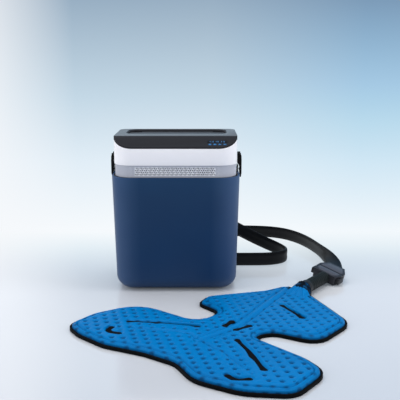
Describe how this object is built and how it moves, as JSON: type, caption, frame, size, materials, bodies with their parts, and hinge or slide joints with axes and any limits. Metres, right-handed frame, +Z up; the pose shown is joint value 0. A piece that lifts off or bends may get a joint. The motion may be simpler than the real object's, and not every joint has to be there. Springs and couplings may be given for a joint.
{
  "type": "hot cold therapy machine",
  "caption": "Insulated water tub with a vented head, slanted key panel, hinged fill lid and side latches, piped by a flat hose and quick coupling to a butterfly water pad.",
  "frame": {"origin": "centre of the underside of the tub, on the surface the machine stands on", "axes": "+Z up, -Y out of the side with the display and keys, +X to the right seen from that side"},
  "size_m": [0.5076, 0.7921, 0.294],
  "materials": {
    "sole_rubber": "matt",
    "tub_blue": "satin",
    "foam": "cellular foam",
    "liner_white": "moulded",
    "deck_white": "moulded",
    "band_grey": "fine texture",
    "collar_white": "smooth",
    "cap_black": "polished",
    "lid_grey": "satin",
    "seal_rubber": "soft",
    "steel": "turned",
    "tab_silver": "bright",
    "window_blue": "lit from behind",
    "board_green": "solder mask",
    "key_grey": "printed",
    "block_alu": "milled",
    "ceramic": "ceramic",
    "fin_alu": "extruded",
    "fan_black": "moulded",
    "inlet_black": "moulded",
    "pump_black": "moulded",
    "impeller_orange": "moulded",
    "filter_white": "moulded",
    "tube_clear": "silicone",
    "hose_black": "satin",
    "coupling_grey": "moulded",
    "sleeve_grey": "matt",
    "bladder_blue": "coated nylon",
    "backing_black": "fleece",
    "latch_black": "moulded"
  },
  "bodies": {
    "machine": {"base_sole": "sole_rubber", "tub_shell": "tub_blue", "tub_foam": "foam", "tank_liner": "liner_white", "rim_gasket": "seal_rubber", "head_deck": "deck_white", "vent_band": "band_grey", "head_collar": "collar_white", "top_cap": "cap_black", "lid_hinge_pin": "steel", "display_window": "window_blue", "control_board": "board_green", "cold_block": "block_alu", "thermo_modules": "ceramic", "heat_sink": "fin_alu", "fan_frame": "fan_black", "power_inlet": "inlet_black", "pump_housing": "pump_black", "suction_filter": "filter_white", "supply_tube": "tube_clear", "return_tube": "tube_clear", "hose_gland": "pump_black", "hose": "hose_black", "coupling_socket": "coupling_grey", "latch_bracket_left": "latch_black", "latch_bracket_right": "latch_black", "latch_pin_left": "steel", "latch_pin_right": "steel", "latch_catch_left": "latch_black", "latch_catch_right": "latch_black", "deck_screws": "steel"},
    "lid": {"fill_lid": "lid_grey", "lid_seal": "seal_rubber", "lid_tab": "tab_silver"},
    "key_power": {"key_power": "key_grey"},
    "key_mode": {"key_mode": "key_grey"},
    "key_up": {"key_up": "key_grey"},
    "key_down": {"key_down": "key_grey"},
    "fan": {"fan_rotor": "fan_black"},
    "impeller": {"pump_impeller": "impeller_orange"},
    "latch_left": {"latch_lever_left": "latch_black"},
    "latch_right": {"latch_lever_right": "latch_black"},
    "pad": {"coupling_plug": "coupling_grey", "port_sleeve": "sleeve_grey", "sleeve_clamp": "latch_black", "pad_bladder": "bladder_blue", "pad_backing": "backing_black", "pad_binding": "backing_black"},
    "tab_left": {"release_tab_left": "latch_black"},
    "tab_right": {"release_tab_right": "latch_black"}
  },
  "joints": [
    {"name": "lid_hinge", "type": "hinge", "parent": "machine", "child": "lid", "pos_m": [0, 0.065, 0.2865], "axis": [-1, 0, 0], "range_deg": [0, 95]},
    {"name": "latch_left_hinge", "type": "hinge", "parent": "machine", "child": "latch_left", "pos_m": [-0.1204, 0, 0.252], "axis": [0, 1, 0], "range_deg": [0, 70]},
    {"name": "latch_right_hinge", "type": "hinge", "parent": "machine", "child": "latch_right", "pos_m": [0.1204, 0, 0.252], "axis": [0, -1, 0], "range_deg": [0, 70]},
    {"name": "key_power_press", "type": "slide", "parent": "machine", "child": "key_power", "axis": [0, 0.4664, -0.8846], "range_m": [0, 0.0008], "stiffness_N_per_m": 600, "springref_m": -0.0004},
    {"name": "key_mode_press", "type": "slide", "parent": "machine", "child": "key_mode", "axis": [0, 0.4664, -0.8846], "range_m": [0, 0.0008], "stiffness_N_per_m": 600, "springref_m": -0.0004},
    {"name": "key_up_press", "type": "slide", "parent": "machine", "child": "key_up", "axis": [0, 0.4664, -0.8846], "range_m": [0, 0.0008], "stiffness_N_per_m": 600, "springref_m": -0.0004},
    {"name": "key_down_press", "type": "slide", "parent": "machine", "child": "key_down", "axis": [0, 0.4664, -0.8846], "range_m": [0, 0.0008], "stiffness_N_per_m": 600, "springref_m": -0.0004},
    {"name": "fan_spin", "type": "hinge", "parent": "machine", "child": "fan", "pos_m": [0, -0.044, 0.25], "axis": [0, 0, 1], "continuous": true},
    {"name": "impeller_spin", "type": "hinge", "parent": "machine", "child": "impeller", "pos_m": [0.056, 0.016, 0.025], "axis": [0, 0, 1], "continuous": true},
    {"name": "pad_unplug", "type": "slide", "parent": "machine", "child": "pad", "axis": [-0.6157, -0.788, 0], "range_m": [0, 0.04]},
    {"name": "tab_left_press", "type": "slide", "parent": "pad", "child": "tab_left", "axis": [0.7646, -0.5974, -0.2419], "range_m": [0, 0.0025], "stiffness_N_per_m": 800, "springref_m": -0.001},
    {"name": "tab_right_press", "type": "slide", "parent": "pad", "child": "tab_right", "axis": [-0.7646, 0.5974, 0.2419], "range_m": [0, 0.0025], "stiffness_N_per_m": 800, "springref_m": -0.001}
  ]
}
